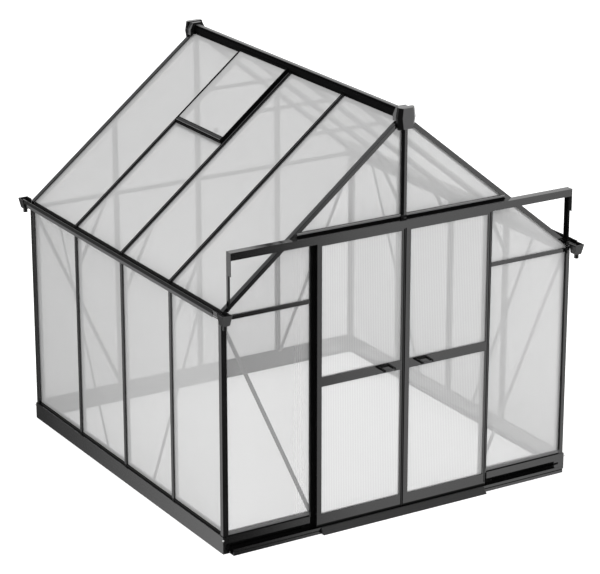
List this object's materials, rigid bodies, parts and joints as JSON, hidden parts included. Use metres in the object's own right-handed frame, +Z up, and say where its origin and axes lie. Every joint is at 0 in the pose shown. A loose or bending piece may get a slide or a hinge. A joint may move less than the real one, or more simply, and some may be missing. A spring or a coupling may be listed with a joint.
{
  "type": "greenhouse",
  "caption": "Walk-in polycarbonate greenhouse with a gable roof, gutters, a roof vent and two doors that slide apart on an outside track.",
  "frame": {"origin": "centre of the footprint, on the ground", "axes": "+Z up, +X across the doorway wall to the right as seen from outside, +Y from the doorway wall to the back wall"},
  "size_m": [2.51, 2.636, 2.506],
  "materials": {
    "frame": "satin powder coat",
    "pane": "clear fluted twin-wall",
    "moulding": "fine grain",
    "handle": "fine grain"
  },
  "bodies": {
    "frame": {"base_left": "frame", "base_right": "frame", "base_back": "frame", "base_front": "frame", "base_corners": "frame", "threshold_ramp": "frame", "door_guide_rail": "frame", "corner_posts": "frame", "left_wall_posts": "frame", "right_wall_posts": "frame", "back_wall_posts": "frame", "door_posts": "frame", "left_gutter": "frame", "right_gutter": "frame", "gutter_outlets": "moulding", "ridge_beam": "frame", "ridge_caps": "moulding", "front_gable_rafters": "frame", "back_gable_rafters": "frame", "left_rafters": "frame", "right_rafters": "frame", "gable_post": "frame", "gable_cross_rail": "frame", "eave_rails": "frame", "door_track": "frame", "track_hangers": "frame", "side_wall_braces": "frame", "end_wall_braces": "frame", "knee_braces": "frame", "collar_ties": "frame", "left_wall_panes": "pane", "right_wall_panes": "pane", "back_wall_panes": "pane", "front_wall_panes": "pane", "left_roof_panes": "pane", "right_roof_panes": "pane", "vent_frame": "frame", "vent_pane": "pane", "vent_opener": "handle"},
    "left_door": {"left_door_frame": "frame", "left_door_panes": "pane", "left_door_handle": "handle"},
    "right_door": {"right_door_frame": "frame", "right_door_panes": "pane", "right_door_handle": "handle"}
  },
  "joints": [
    {"name": "left_door_slide", "type": "slide", "parent": "frame", "child": "left_door", "axis": [-1, 0, 0], "range_m": [0, 0.56]},
    {"name": "right_door_slide", "type": "slide", "parent": "frame", "child": "right_door", "axis": [1, 0, 0], "range_m": [0, 0.56]}
  ]
}
